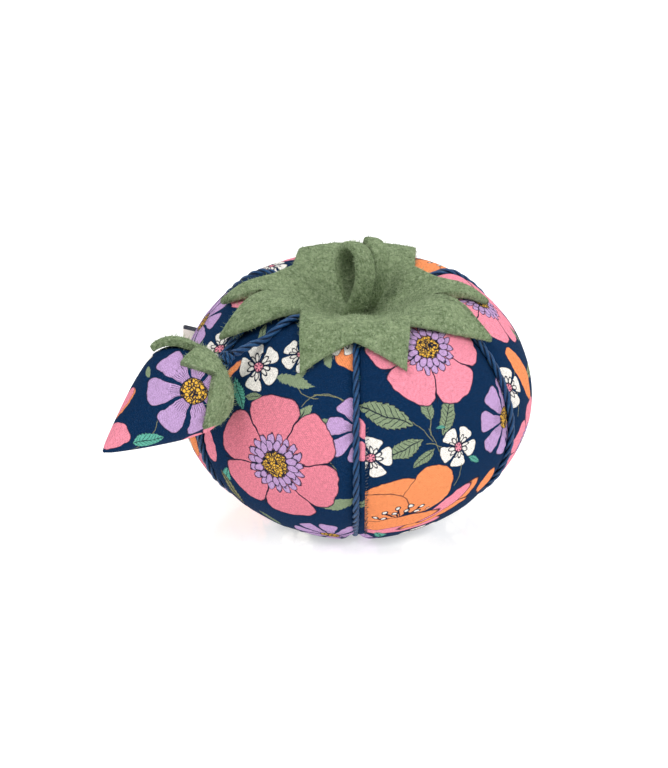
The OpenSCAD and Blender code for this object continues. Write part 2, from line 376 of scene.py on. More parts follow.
class Print(Paint):
    """A floral print in fabric millimetres, drawn with formulas on the piece's own flat layout."""

    def __init__(self, name):
        super().__init__(name)
        uv = self.node("ShaderNodeUVMap", uv_map="print").outputs["UV"]
        self.flat = uv
        wander = self.noise(uv, 0.28, 2.0, 0.5, colour=True)
        centred = self.vector_math("SUBTRACT", wander, (0.5, 0.5, 0.5))
        shift = self.vector_math("MULTIPLY", centred, (1.6, 1.6, 0.0))
        self.cloth = self.vector_math("ADD", uv, shift)
        self.colour = NAVY

    def local(self, x, y, turn, size):
        """Own place in a motif, 1 at its size: as a vector, across it and up it."""
        n = self.node("ShaderNodeMapping", vector_type="TEXTURE")
        self.put(n.inputs["Vector"], self.cloth)
        self.set(n, Location=(x, y, 0.0), Rotation=(0.0, 0.0, rad(turn)), Scale=(size, size, 1.0))
        across, up, _ = self.parts(n.outputs[0])
        return n.outputs[0], across, up

    def polar(self, x, y, turn, size, squash=1.0):
        """Distance from a motif's centre, 1 at its size, and the angle round it."""
        vector, across, up = self.local(x, y, turn, size)
        if squash != 1.0:
            vector = self.stretch(vector, (1.0, 1.0 / squash, 0.0))
            up = self.times(up, 1.0 / squash)
        radius = self.vector_math("LENGTH", vector)
        angle = self.math("ARCTAN2", up, across)
        return radius, angle

    def ring(self, radius, angle, count, mid, half_w, half_l, turn=0.0):
        """Oval petals round a centre: below 1 inside a petal. Also the place across, -0.5 to 0.5."""
        across = self.sector(angle, count, turn)
        wide = self.times(across, radius)
        wide = self.times(wide, 2 * math.pi / count / half_w)
        long = self.scaled(radius, 1 / half_l, -mid / half_l)
        wide = self.times(wide, wide)
        return self.math("MULTIPLY_ADD", long, long, wide), across

    def sector(self, angle, count, turn=0.0):
        """Place across the nearest of count petals, -0.5 to 0.5."""
        turns = self.scaled(angle, count / (2 * math.pi), turn + 10.0)
        return self.math("SUBTRACT", self.math("FRACT", turns), 0.5)

    def wedges(self, radius, angle, count, inner, share, notch=0.0):
        """Petals that widen outwards and have round corners: below 1 inside a petal."""
        across = self.sector(angle, count)
        wide = self.times(across, 1 / share)
        wide = self.times(wide, wide)
        if notch:
            dip = self.scaled(wide, -notch, notch)
            dip = self.math("MAXIMUM", dip, 0.0)
            radius = self.math("ADD", radius, dip)
        half = (1 - inner) / 2
        long = self.scaled(radius, 1 / half, -(1 + inner) / 2 / half)
        long = self.times(long, long)
        long = self.times(long, long)
        return self.math("MULTIPLY_ADD", wide, wide, long), across

    def inside(self, field, limit, hardness):
        """1 where the field is below the limit."""
        return self.math("MULTIPLY_ADD", field, -hardness, hardness * limit, clamp=True)

    def inked(self, field, outer, inner, hardness, colour):
        """Fills a shape with a colour and leaves a dark line round it."""
        self.mix(self.inside(field, outer, hardness), DARK)
        self.mix(self.inside(field, inner, hardness), colour)

    def anemone(self, x, y, size, turn=0.0, petal=PINK, squash=1.0):
        """Six broad petals and two rings of small ones round a grainy eye."""
        radius, angle = self.polar(x, y, turn, size, squash)
        field, across = self.wedges(radius, angle, 6, 0.1, 0.5)
        self.inked(field, 1.1, 0.96, size * 0.5, petal)
        apart = self.math("SUBTRACT", 0.5, self.math("ABSOLUTE", across))
        apart = self.times(apart, radius)
        apart = self.inside(apart, 0.013, 140.0)
        self.mix(self.times(apart, self.inside(radius, 0.97, 12.0)), DARK)
        uneven = self.noise(self.stretch(self.cloth, (0.8, 0.8, 1.0)), 1.0, 1.0)
        radius = self.scaled(uneven, 0.09, self.math("SUBTRACT", radius, 0.045))
        for count, mid, turn_by in ((19, 0.385, 0.5), (16, 0.285, 0.0)):
            field, _ = self.ring(radius, angle, count, mid, 0.056, 0.086, turn_by)
            self.inked(field, 1.35, 0.9, 3.0, LAVENDER)
        self.centre(radius, 0.215, size, 1.4)

    def centre(self, radius, reach, size, grain):
        """Eye full of mustard grains with dark lines between."""
        self.mix(self.inside(radius, reach, size * 6), DARK)
        cells = self.node("ShaderNodeTexVoronoi", feature="DISTANCE_TO_EDGE")
        self.put(cells.inputs["Vector"], self.flat)
        self.set(cells, Scale=grain, Randomness=0.8)
        grainy = self.ramp(cells.outputs["Distance"], 9.0, -0.55)
        near = self.inside(radius, reach * 0.93, size * 4)
        self.mix(self.times(grainy, near), MUSTARD)

    def cosmos(self, x, y, size, turn=0.0, petals=8):
        """Narrow lavender petals with inked lines from a grainy eye."""
        radius, angle = self.polar(x, y, turn, size)
        field, across = self.wedges(radius, angle, petals, 0.0, 0.41, 0.05)
        self.inked(field, 1.12, 0.95, size * 0.5, LAVENDER)
        lines = self.math("FRACT", self.times(across, 9.0))
        lines = self.inside(lines, 0.30, 6.0)
        ends = self.noise(self.stretch(self.cloth, (0.9, 0.9, 1.0)), 1.0, 1.0)
        reach = self.scaled(ends, -0.55, 0.0)
        near = self.inside(self.math("ADD", radius, reach), 0.24, 9.0)
        within = self.inside(field, 0.9, 6.0)
        self.mix(self.times(self.times(lines, near), within), DARK)
        self.centre(radius, 0.27, size, 1.25)

    def blossom(self, x, y, size, turn=0.0):
        """Five white petals with inked loops round a pink eye."""
        radius, angle = self.polar(x, y, turn, size)
        field, _ = self.wedges(radius, angle, 5, 0.12, 0.41, 0.07)
        self.inked(field, 1.2, 0.95, size, WHITE)
        field, _ = self.ring(radius, angle, 12, 0.36, 0.085, 0.17)
        rim = self.math("ABSOLUTE", self.math("SUBTRACT", field, 1.0))
        self.mix(self.inside(rim, 0.62, 2.8), DARK)
        self.mix(self.inside(radius, 0.19, size * 4), PINK)
        field, _ = self.ring(radius, angle, 6, 0.12, 0.03, 0.07)
        self.mix(self.inside(field, 1.0, 1.5), DARK)

    def leaf(self, x, y, length, width, turn, colour=SAGE, veins=True, teeth=0.03):
        """Leaf from its stalk at x, y, pointing along turn."""
        _, along, across = self.local(x, y, turn, length)
        hump = self.times(along, self.math("SUBTRACT", 1.0, along))
        hump = self.math("MAXIMUM", hump, 0.0)
        half = self.times(self.math("POWER", hump, 0.8), 1.52 * width / length)
        notch = self.math("FRACT", self.times(along, 10.0))
        half = self.scaled(notch, -teeth, half)
        side = self.math("ABSOLUTE", across)
        gap = self.math("SUBTRACT", side, half)
        if veins:
            self.mix(self.inside(gap, 0.018, length / EDGE / 2), DARK)
        self.mix(self.inside(gap, 0.0, length / EDGE / 2), colour)
        if not veins:
            return
        slant = self.scaled(side, -0.9, along)
        vein = self.math("FRACT", self.times(slant, 9.0))
        vein = self.inside(vein, 0.26, 5.0)
        rib = self.inside(side, 0.022, 60.0)
        drawn = self.math("MAXIMUM", vein, rib)
        within = self.inside(gap, -0.02, length * 3)
        self.mix(self.times(drawn, within), DARK)

    def sprig(self, x, y, length, width, turn, teeth=0.06):
        """Teal leaf with coarse teeth."""
        self.leaf(x, y, length, width, turn, TEAL, teeth=teeth)

    def blade(self, x, y, length, width, turn):
        """Sage leaf without ink."""
        self.leaf(x, y, length, width, turn, veins=False)

    def stem(self, x, y, length, turn, bend=0.0):
        """Thin olive stalk from x, y along turn; bend is its bow as a share of its length."""
        _, along, across = self.local(x, y, turn, length)
        hump = self.times(along, self.math("SUBTRACT", 1.0, along))
        off = self.math("ABSOLUTE", self.scaled(hump, -4 * bend, across))
        off = self.inside(off, STEM_W / length / 2, length / EDGE / 1.5)
        within = self.inside(self.times(hump, -1.0), 0.0, 60.0)
        self.mix(self.times(off, within), OLIVE)

    def blob(self, x, y, half_w, half_h, turn, colour, ink=0.0, lobes=0.0):
        """Rounded petal, with an inked edge and scalloped outline when asked."""
        radius, angle = self.polar(x, y, turn, half_w, half_h / half_w)
        if lobes:
            wave = self.math("SINE", self.times(angle, 5.0))
            radius = self.scaled(wave, lobes, radius)
        if ink:
            self.mix(self.inside(radius, 1.0 + ink / half_h, half_h / EDGE / 2), DARK)
        self.mix(self.inside(radius, 1.0, half_h / EDGE / 2), colour)

    def stamens(self, x, y, size, turn, squash=0.8):
        """Fan of dark threads with white tips."""
        radius, angle = self.polar(x, y, turn, size, squash)
        upright = self.math("ABSOLUTE", self.math("SUBTRACT", angle, math.pi / 2))
        above = self.inside(upright, 1.3, 8.0)
        for count, mid, half_w in ((14, 0.86, 0.068), (10, 0.58, 0.068)):
            field, across = self.ring(radius, angle, count, mid, half_w, half_w * 1.2, mid)
            thread = self.inside(self.math("ABSOLUTE", across), 0.17, 9.0)
            thread = self.times(thread, self.inside(radius, mid, 14.0))
            self.mix(self.times(thread, above), DARK)
            self.mix(self.times(self.inside(field, 2.2, 2.4), above), DARK)
            self.mix(self.times(self.inside(field, 0.9, 2.6), above), WHITE)

    def poppy(self, x, y, scale, turn=0.0):
        """Side view of an orange poppy: outer petals, back petals, stamens, front bowl."""
        def at(dx, dy):
            c, s = cos_deg(turn), sin_deg(turn)
            return x + scale * (dx * c - dy * s), y + scale * (dx * s + dy * c)
        for dx, dy, w, h, tilt, colour in (
            (-2.0, -10.5, 12.5, 3.4, -3, PINK),
            (11.5, -3.6, 10.0, 3.2, 40, ORANGE),
            (8.0, -7.6, 9.5, 2.2, 24, ORANGE),
            (10.2, -3.0, 8.6, 2.5, 41, PINK),
            (-5.0, 5.8, 9.0, 6.0, 8, ORANGE),
            (4.4, 5.4, 6.4, 8.0, -22, ORANGE),
            (-8.4, 2.0, 8.2, 6.4, -6, ORANGE),
        ):
            px, py = at(dx, dy)
            self.blob(px, py, w * scale, h * scale, tilt + turn, colour, 0.24, 0.025)
        px, py = at(-2.0, -4.2)
        self.stamens(px, py, 8.6 * scale, turn + 8)
        px, py = at(-3.0, -6.2)
        self.blob(px, py, 11.5 * scale, 3.3 * scale, turn + 6, ORANGE, 0.24)

    def cotton(self):
        """Twill cloth: threads both ways, in colour and in relief."""
        warp = self.noise(self.stretch(self.flat, (4.2, 0.9, 1.0)), 1.0, 1.0)
        weft = self.noise(self.stretch(self.flat, (0.9, 4.2, 1.0)), 1.0, 1.0)
        speck = self.noise(self.flat, 5.5, 1.0)
        threads = self.times(self.math("ADD", warp, weft), 0.5)
        across, up, _ = self.parts(self.flat)
        twill = self.math("ADD", across, up)
        twill = self.math("SINE", self.times(twill, 2 * math.pi / TWILL))
        fleck = self.node("ShaderNodeMapRange")
        self.put(fleck.inputs["Value"], self.scaled(speck, 0.5, self.times(threads, 0.5)))
        self.set(fleck, From_Min=0.40, From_Max=0.60, To_Min=0.70, To_Max=1.30)
        self.mix(1.0, self.scaled(twill, 0.10, fleck.outputs[0]), "MULTIPLY")
        slub = self.ramp(speck, 5.0, -2.75)
        self.mix(self.times(slub, 0.05), linear(214, 216, 220))
        normal = self.bump(threads, 0.00015, 0.8)
        return self.finish(0.88, normal, specular=0.05)


def front_right_print():
    p = Print("print_front_right")
    p.stem(-10, 12, 9, -50, 0.08)
    p.stem(-3.5, 12, 5, -100)
    p.stem(-4.5, 9, 8, -70, -0.05)
    p.stem(-6, 5, 7, -30, 0.1)
    p.leaf(-8.6, 10.4, 13.5, 6.4, 155)
    p.leaf(-3.8, 10.6, 6.6, 3.3, 94)
    p.leaf(-1.2, 6.4, 9.4, 4.3, 66)
    p.leaf(-6.4, 6.2, 10.4, 4.7, 197)
    p.leaf(-3.6, 3.4, 7.0, 3.0, 212)
    p.sprig(6, -1, 5, 2.2, -35, 0.08)
    p.sprig(0, 8, 3, 1.2, 170, 0.08)
    p.sprig(-17.5, 24, 5, 2.2, 220, 0.08)
    p.anemone(1.4, 28.5, 15.5, 20)
    p.cosmos(20.5, 4.5, 10.5, 12)
    p.blossom(3, 2.5, 5.6, 18)
    p.blossom(-20, 3, 5.8, 40)
    p.stem(4, -2, 7, -100, 0.05)
    p.poppy(-8, -14.5, 1.0, 8)
    p.blob(15, -12.5, 4.6, 2.2, 68, ORANGE, 0.2, 0.05)
    p.leaf(14, -22, 9, 3, 35)
    p.blossom(2, -33, 5.5, 10)
    p.sprig(-8, -34, 8, 3, 120)
    p.cosmos(-14, -40, 8, 0)
    p.blob(STRIP_SHIFT - 21.5, 10.5, 1.6, 3.0, 10, PINK)
    p.blob(STRIP_SHIFT - 22.0, 4.5, 1.8, 2.6, -10, PINK)
    p.leaf(STRIP_SHIFT - 24, -13, 8, 3, 20)
    p.blob(STRIP_SHIFT - 22, -24, 2.4, 2.0, 0, LAVENDER)
    return p.cotton()


def front_left_print():
    p = Print("print_front_left")
    p.stem(12, 17, 9, 150, 0.15)
    p.stem(8, 15, 10, 10, 0.25)
    p.stem(20, 16, 10, 170, -0.1)
    p.stem(17, 2, 7, -80, 0.2)
    p.blade(10, 20, 11.5, 3.4, 176)
    p.blade(6.5, 26, 6, 2.6, 250)
    p.blade(11, 15.5, 7.5, 3.2, 225)
    p.blade(16.5, 12.5, 6, 2.2, 205)
    p.blade(12, 25, 5, 2.2, 120)
    p.sprig(17, 26, 5, 1.6, 160)
    p.sprig(-12.5, 17, 8, 4, -48)
    p.blade(12, -12, 12, 4.4, 8)
    p.sprig(-12, -6, 7, 3, 250)
    p.leaf(-15, -8, 14, 3, 285, OLIVE)
    p.leaf(-7, -22, 8, 3, 300, SAGE)
    p.blob(16, 30, 6, 4.4, -50, ORANGE)
    p.cosmos(24, 10.5, 9.5, 20)
    p.blob(11.8, 0, 3.2, 5.6, 12, ORANGE, 0.15)
    p.anemone(3.2, -0.8, 16.5, 8, CORAL, 1.05)
    p.blossom(-6.3, 21.8, 6.4, 20)
    p.blossom(12, 33, 5, 0)
    p.blob(-14, 18.5, 3.6, 1.1, 62, ORANGE)
    p.cosmos(10, -30, 9.5, 5)
    p.blossom(-3, -36, 5.5, 30)
    p.blob(-19, -2, 3, 5, 20, PINK, 0.15)
    p.blossom(3.5, 27.5, 5.2, 50)
    p.leaf(-9, 27, 6, 2.4, 100)
    p.leaf(-3, 15.5, 5, 2, 200)
    return p.cotton()


def left_print():
    p = Print("print_left")
    p.stem(5, 6, 12, 80, 0.1)
    p.leaf(6, 10, 10, 3.6, 20)
    p.leaf(4, 4, 9, 3.2, 150)
    p.sprig(14, -4, 9, 3.4, -60)
    p.leaf(-16, 14, 8, 3, 110)
    p.cosmos(-2.5, 19.5, 10.5, 10)
    p.blossom(16.9, 21, 6.2, 30)
    p.anemone(-8, -8, 15.5, 20)
    p.blossom(10, -6, 6, 0)
    p.anemone(20, -20, 12, 0, CORAL)
    p.poppy(4, -28, 0.8, -10)
    p.leaf(-15, -24, 9, 3, 200)
    p.blob(4, 34, 6, 4, 20, PINK, 0.2)
    p.leaf(-8, 32, 8, 3, 70)
    p.leaf(18, 8, 7, 2.8, 240)
    p.leaf(-18, 4, 6, 2.6, 60)
    p.blossom(-14, -34, 5.4, 20)
    p.leaf(12, -38, 7, 2.8, 30)
    p.blob(18, -6, 2.4, 4.4, -10, ORANGE, 0.15)
    return p.cotton()


def right_print():
    p = Print("print_right")
    p.stem(-20, 2, 14, 60, 0.1)
    p.blade(-19, 17, 7, 3, 150)
    p.leaf(-8, 8, 10, 3.4, -10)
    p.leaf(4, 4, 9, 3.2, 50)
    p.sprig(-2, -2, 8, 3, 250)
    p.anemone(-0.6, 30, 14.5, 5)
    p.blossom(-20.5, 10.5, 6, 25)
    p.blob(-10.5, 10, 3.4, 8.5, 14, ORANGE, 0.2, 0.04)
    p.anemone(-10, -9, 11.5, 0)
    p.poppy(8, -12, 0.95, 10)
    p.blossom(12, 6, 6, 30)
    p.cosmos(16, 18, 9, 0)
    p.leaf(-4, -28, 10, 3.4, 30)
    p.blossom(-8, -32, 5.5, 0)
    p.leaf(14, -4, 6, 2.6, 300)
    p.leaf(-16, -24, 8, 3, 80)
    p.blob(18, 2, 2.4, 4.4, 10, PINK, 0.15)
    p.leaf(2, 13, 6, 2.4, 100)
    p.cosmos(6, -38, 8, 20)
    return p.cotton()


def back_right_print():
    p = Print("print_back_right")
    p.stem(-4, 10, 12, -60, 0.1)
    p.leaf(-4, 8, 11, 3.8, 160)
    p.leaf(2, 2, 9, 3.2, 40)
    p.sprig(-14, -14, 9, 3, 70)
    p.poppy(-9, 32, 0.95, 30)
    p.cosmos(10, 14, 11, 0)
    p.blossom(-14, 20, 6, 0)
    p.anemone(-4, -12, 16, 15, CORAL)
    p.blossom(16, -8, 6, 20)
    p.leaf(12, -18, 9, 3.2, -30)
    p.cosmos(4, -36, 8.5, 0)
    p.leaf(12, 28, 8, 3, 120)
    p.anemone(8, 38, 8, 0)
    p.leaf(-16, 8, 7, 2.8, 250)
    p.leaf(8, -4, 7, 2.8, 190)
    p.blossom(-16, -26, 5.2, 40)
    p.leaf(-6, -30, 8, 3, 200)
    p.sprig(16, 4, 5, 2.2, 80, 0.08)
    p.blob(-18, -4, 2.6, 4.6, 15, ORANGE, 0.15)
    p.stem(2, 24, 8, 30, 0.15)
    p.leaf(8, 27, 6, 2.4, 20)
    return p.cotton()


def back_left_print():
    p = Print("print_back_left")
    p.stem(6, 12, 14, 200, 0.12)
    p.leaf(4, 8, 10, 3.6, 10)
    p.leaf(-8, 6, 9, 3.2, 130)
    p.sprig(-4, -16, 9, 3.2, 200)
    p.anemone(-6, 24, 14, 12)
    p.blossom(12, 18, 6.2, 0)
    p.cosmos(14, 0, 10, 10)
    p.blossom(-14, 2, 6, 30)
    p.poppy(2, -14, 1.0, -6)
    p.blob(14, 30, 4, 7, -20, ORANGE, 0.2, 0.04)
    p.leaf(14, -22, 9, 3.4, 280)
    p.blossom(-12, -30, 5.6, 10)
    p.cosmos(8, -36, 8, 0)
    p.leaf(-16, 14, 7, 2.8, 60)
    p.leaf(0, 40, 7, 2.8, 20)
    p.blossom(10, 34, 5.0, 15)
    p.leaf(-16, -10, 8, 3, 260)
    p.sprig(18, 10, 5, 2.2, 40, 0.08)
    p.blob(-19, 22, 2.6, 4.4, 5, PINK, 0.15)
    p.leaf(-2, -30, 7, 2.8, 330)
    p.sprig(6, 10, 5, 2.2, 160, 0.08)
    return p.cotton()


def berry_print():
    p = Print("print_strawberry")
    p.stem(2, -9, 14, -80, 0.12)
    p.leaf(2.5, -18.5, 9, 4.6, 62, TEAL)
    p.blade(-8, -4, 4, 1.8, 160)
    p.blob(-8, -14, 2.2, 5.2, 14, ORANGE)
    p.blob(-8.6, -14, 2.2, 5.2, 14, PINK, 0.15)
    p.blob(-2.2, -22, 3.4, 5.6, -20, PINK, 0.2, 0.04)
    p.cosmos(1.7, 2.8, 12.5, 2, petals=7)
    p.anemone(24, -2, 12, 0)
    p.blossom(-20, 0, 6, 10)
    p.leaf(-15, -8, 8, 3, 240)
    p.blob(16, -14, 4, 3, 30, ORANGE, 0.2, 0.04)
    p.blossom(32, 8, 6, 10)
    return p.cotton()


# --- other materials
def own_place(p):
    """Place in the object's own coordinates, in metres."""
    return p.node("ShaderNodeTexCoord").outputs["Object"]


def cord_material(name, base, light):
    """Silky twisted yarn: fine fibres run along each strand; each strand is painted darker towards the gaps
    beside it, painted shade.
    """
    p = Paint(name)
    uv = p.node("ShaderNodeUVMap", uv_map="print").outputs["UV"]
    fibre = p.noise(p.stretch(uv, (34.0, 0.9, 1.0)), 1.0, 2.0, 0.6)
    # painted shade: 1 on a strand's inner side, towards the gaps between strands, 0 on its outer crest
    painted_gap_shade = p.ramp(p.parts(uv)[0], -2.8, 1.95)
    patch = p.noise(own_place(p), 260.0, 2.0)
    p.colour = base
    p.blotch(fibre, 2.4, -0.95, light)
    p.blotch(patch, 1.4, -0.62, base)
    # lays the painted shade into the gaps between strands
    p.mix(painted_gap_shade, linear(3, 14, 36))
    normal = p.bump(fibre, 0.00012, 0.8)
    return p.finish(0.36, normal, specular=0.35)


def felt_material(name, light, dark):
    """Pressed wool: mottled in two greens, with short matted fibres, and painted shade in its own creases.
    """
    p = Paint(name)
    place_in = own_place(p)
    cloud = p.noise(place_in, 260.0, 3.0, 0.65)
    fine = p.noise(place_in, 1150.0, 3.0, 0.75)
    hair = p.noise(p.stretch(place_in, (1.0, 0.35, 0.6)), 2300.0, 2.0, 0.7)
    p.colour = light
    p.blotch(cloud, 2.2, -0.8, dark)
    p.blotch(fine, 5.0, -2.5, linear(164, 178, 144))
    p.blotch(fine, -5.5, 2.45, linear(62, 80, 50))
    p.blotch(hair, 4.0, -2.2, linear(56, 74, 46))
    # painted shade: the felt's colour darkens in its own creases and hollows
    p.painted_crease_shade(0.008, 0.45)
    height = p.math("ADD", fine, p.times(hair, 0.8))
    normal = p.bump(height, 0.0009, 1.0)
    return p.finish(0.95, normal, specular=0.08, sheen=0.22, sheen_roughness=0.6, tint=linear(180, 196, 160))


def wool_material(name):
    """Single wool fibres, lighter and darker ones side by side."""
    p = Paint(name)
    shade = p.noise(own_place(p), 900.0, 1.0)
    p.colour = linear(96, 116, 80)
    p.blotch(shade, 5.0, -2.0, linear(158, 174, 138))
    return p.finish(0.9, None, specular=0.1, sheen=0.2)


def thread_material(name, colour, light):
    """Wound thread, seen on the small CAD pieces."""
    p = Paint(name)
    turns = p.node("ShaderNodeTexWave", wave_type="BANDS", bands_direction="Z")
    p.put(turns.inputs["Vector"], own_place(p))
    p.set(turns, Scale=900.0, Distortion=3.0)
    p.colour = colour
    p.mix(turns.outputs["Fac"], light)
    return p.finish(0.5, p.bump(turns.outputs["Fac"], 0.0002, 0.6), specular=0.4, sheen=0.2)


def fibre_material(name):
    """Packed cream fibre."""
    p = Paint(name)
    place_in = own_place(p)
    tuft = p.noise(place_in, 240.0, 5.0, 0.65)
    p.colour = linear(226, 214, 190)
    p.blotch(tuft, 2.0, -0.6, linear(190, 172, 140))
    return p.finish(0.95, p.bump(tuft, 0.0009, 0.8), specular=0.1, sheen=0.2)


def grit_material(name):
    """Dark emery grit with bright grains."""
    p = Paint(name)
    place_in = own_place(p)
    grain = p.node("ShaderNodeTexVoronoi")
    p.put(grain.inputs["Vector"], place_in)
    p.set(grain, Scale=2600.0)
    p.colour = linear(52, 50, 50)
    p.blotch(grain.outputs["Distance"], 1.6, -0.4, linear(110, 104, 100))
    return p.finish(0.55, p.bump(grain.outputs["Distance"], 0.0004, 0.8), specular=0.5)


def label_material(name):
    """Woven satin tape: fine ribs across."""
    p = Paint(name)
    ribs = p.node("ShaderNodeTexWave", wave_type="BANDS", bands_direction="Z")
    place_in = own_place(p)
    p.put(ribs.inputs["Vector"], place_in)
    p.set(ribs, Scale=520.0)
    slub = p.noise(place_in, 700.0, 2.0)
    p.colour = linear(212, 206, 198)
    p.mix(p.times(ribs.outputs["Fac"], 0.35), linear(200, 192, 180))
    p.blotch(slub, 0.6, -0.2, linear(232, 228, 220))
    border = p.math("GREATER_THAN", p.parts(place_in)[2], (LABEL_TOP - LABEL_BORDER) * MM)
    p.mix(border, linear(40, 44, 60))
    return p.finish(0.5, p.bump(ribs.outputs["Fac"], 0.0001, 0.6), specular=0.4, sheen=0.2)


def floor_material():
    """White acrylic that glows evenly, as on a light table; close to the pieces on it the glow is dimmed, a
    painted contact shadow.
    """
    p = Paint("studio_floor")
    mottle = p.noise(own_place(p), 3.0, 2.0)
    p.colour = (0.6, 0.6, 0.6, 1.0)
    p.mix(p.times(mottle, 0.1), (0.58, 0.58, 0.59, 1.0))
    # painted contact shadow: the floor's glow is dimmed within a few millimetres of the pieces standing on
    # it
    near = p.node("ShaderNodeAmbientOcclusion", samples=8)
    p.set(near, Distance=0.0025)
    glow_with_painted_contact_shadow = p.scaled(near.outputs["AO"], 0.26, 0.44)
    material = p.finish(0.14, None, specular=1.0)
    shader = next(n for n in p.tree.nodes if n.type == "BSDF_PRINCIPLED")
    p.set(shader, Emission_Color=(1.0, 1.0, 1.0, 1.0))
    p.put(shader.inputs["Emission Strength"], glow_with_painted_contact_shadow)
    return material


CORD = cord_material("navy_cord", linear(4, 40, 84), linear(42, 116, 170))
FELT = felt_material("sage_felt", linear(136, 154, 116), linear(92, 112, 76))
WOOL = wool_material("loose_wool")
THREAD = thread_material("navy_thread", linear(12, 36, 66), linear(50, 90, 130))
DARK_THREAD = thread_material("stitch_thread", linear(16, 24, 40), linear(60, 76, 98))


# --- camera, floor and light
def set_camera():
    """Camera at the photograph's angle, aimed a little beside and above the belly's centre."""
    elevation = rad(25.0)
    distance = 0.8
    centre = Vector((0.0, 0.0, BELLY_Z * MM))
    forward = Vector((0.0, math.cos(elevation), -math.sin(elevation)))
    up = Vector((0.0, math.sin(elevation), math.cos(elevation)))
    target = centre + Vector((-0.0054, 0.0, 0.0)) + 0.0021 * up
    data = bpy.data.cameras.new("camera")
    data.sensor_fit = "HORIZONTAL"
    data.sensor_width = 36.0
    data.lens = 167.7
    camera = bpy.data.objects.new("camera", data)
    camera.location = target - forward * distance
    camera.rotation_euler = forward.to_track_quat("-Z", "Y").to_euler()
    bpy.context.collection.objects.link(camera)
    bpy.context.scene.camera = camera


def area_light(name, place_at, look_at, size, power):
    """Round soft light, aimed at a point."""
    data = bpy.data.lights.new(name, "AREA")
    data.shape = "DISK"
    data.size = size
    data.energy = power
    lamp = bpy.data.objects.new(name, data)
    lamp.location = place_at
    lamp.rotation_euler = (Vector(look_at) - Vector(place_at)).to_track_quat("-Z", "Y").to_euler()
    bpy.context.collection.objects.link(lamp)


def set_stage():
    """Pale floor, white surroundings and three soft lights."""
    size = 3.0
    mesh = bpy.data.meshes.new("floor")
    corners = [(-size, -size, 0), (size, -size, 0), (size, size, 0), (-size, size, 0)]
    mesh.from_pydata(corners, [], [(0, 1, 2, 3)])
    mesh.materials.append(floor_material())
    floor = bpy.data.objects.new("floor", mesh)
    bpy.context.collection.objects.link(floor)
    world = bpy.data.worlds.new("studio")
    world.use_nodes = True
    sky = world.node_tree.nodes["Background"].inputs
    sky["Color"].default_value = (1.0, 1.0, 1.0, 1.0)
    sky["Strength"].default_value = 0.70
    bpy.context.scene.world = world
    bpy.context.scene.view_settings.view_transform = "Standard"
    middle = (0.0, 0.0, 0.03)
    area_light("key", (-0.25, -0.45, 0.75), middle, 0.3, 3.1)
    area_light("fill", (0.6, -0.4, 0.45), middle, 0.5, 2.1)
    area_light("back", (0.25, 0.5, 0.65), middle, 0.35, 2.2)


# --- cords
def resample(path, step):
    """Points spread evenly along a path, and their distances from its start."""
    path = np.asarray(path, float)
    along = distance_along(path)
    count = max(4, int(round(along[-1] / step)) + 1)
    at = np.linspace(0.0, along[-1], count)
    return np.stack([np.interp(at, along, path[:, k]) for k in range(3)], axis=1), at


def rounded(path):
    """Cuts the corners of a path twice, keeping its ends."""
    for _ in range(2):
        cut = [path[0]]
        for a, b in zip(path[:-1], path[1:]):
            cut += [0.75 * a + 0.25 * b, 0.25 * a + 0.75 * b]
        path = np.array(cut + [path[-1]])
    return path


def path_frames(path):
    """Two unit vectors across the path at each point, without twist."""
    tangent = directions(path)
    across = np.zeros_like(path)
    first = np.cross(tangent[0], (0.3, 0.2, 0.9))
    across[0] = first / np.linalg.norm(first)
    for i in range(1, len(path)):
        a = across[i - 1] - tangent[i] * np.dot(across[i - 1], tangent[i])
        across[i] = a / np.linalg.norm(a)
    return across, np.cross(tangent, across)


STRANDS = 3
STRAND_SIDES = 9
STRAND_SHARE = 0.49     # strand's radius as a share of the cord's


def rope(name, path, diameter, pitch=10.0, step=0.4):
    """Twisted cord of round strands along a path; pitch is the length of one turn."""
    path, along = resample(path, step)
    side, up = path_frames(path)
    strand_r = diameter / 2 * STRAND_SHARE
    lay_r = diameter / 2 - strand_r
    points, uvs, faces = [], [], []
    for k in range(STRANDS):
        faces += tube_faces(len(path), STRAND_SIDES, start=len(points))
        for i, centre in enumerate(path):
            turn = 2 * math.pi * (k / STRANDS + along[i] / pitch)
            middle = centre + lay_r * (math.cos(turn) * side[i] + math.sin(turn) * up[i])
            points += circle(middle, side[i], up[i], strand_r, STRAND_SIDES, turn)
            uvs += [(abs(j / STRAND_SIDES - 0.5) * 2, along[i]) for j in range(STRAND_SIDES)]
    return make_mesh(name, points, faces, CORD, uvs)


def rib_path(azimuth):
    """From the knot under the cushion, up a seam and into the dimple."""
    path = [(r, BASE_CORD_Z) for r in np.linspace(4.2, 20.0, 6)]
    for b in np.arange(-52.0, 83.1, 3.0):
        path.append(lifted(b, RIB_OUT - RIB_SUNK * smooth_step((-18.0 - b) / 28.0)))
    return rounded(np.array([around(r, z, azimuth) for r, z in path]))


def make_ribs():
    for i in range(GORES):
        cord = rope(f"rib_cord_twist_{i + 1}", rib_path(GORE_ANGLE * i), RIB_D)
        place(cord, "cushion", "navy_cord", f"rib_cord_{i + 1}")


def tether_path():
    """From under the leaf cap out of its cut, over the cover, and across to the strawberry's knot."""
    clear = CORD_D / 2 + 0.25
    under_cap = [(12, -38), (15, -38), (18, -38), (21, -38)]
    in_cut = [(24, -38.4), (27, -39.4), (30, -41), (32.5, -42.6)]
    path = [over_cover(azimuth, reach, clear) for reach, azimuth in under_cap + in_cut]
    path += [(-25.6, -27.6, 57.4), (-28.4, -31.0, 57.1)]
    path.append((HANG[0] + 0.8, HANG[1] + 0.9, HANG[2] + 0.3))
    return rounded(np.array(path))


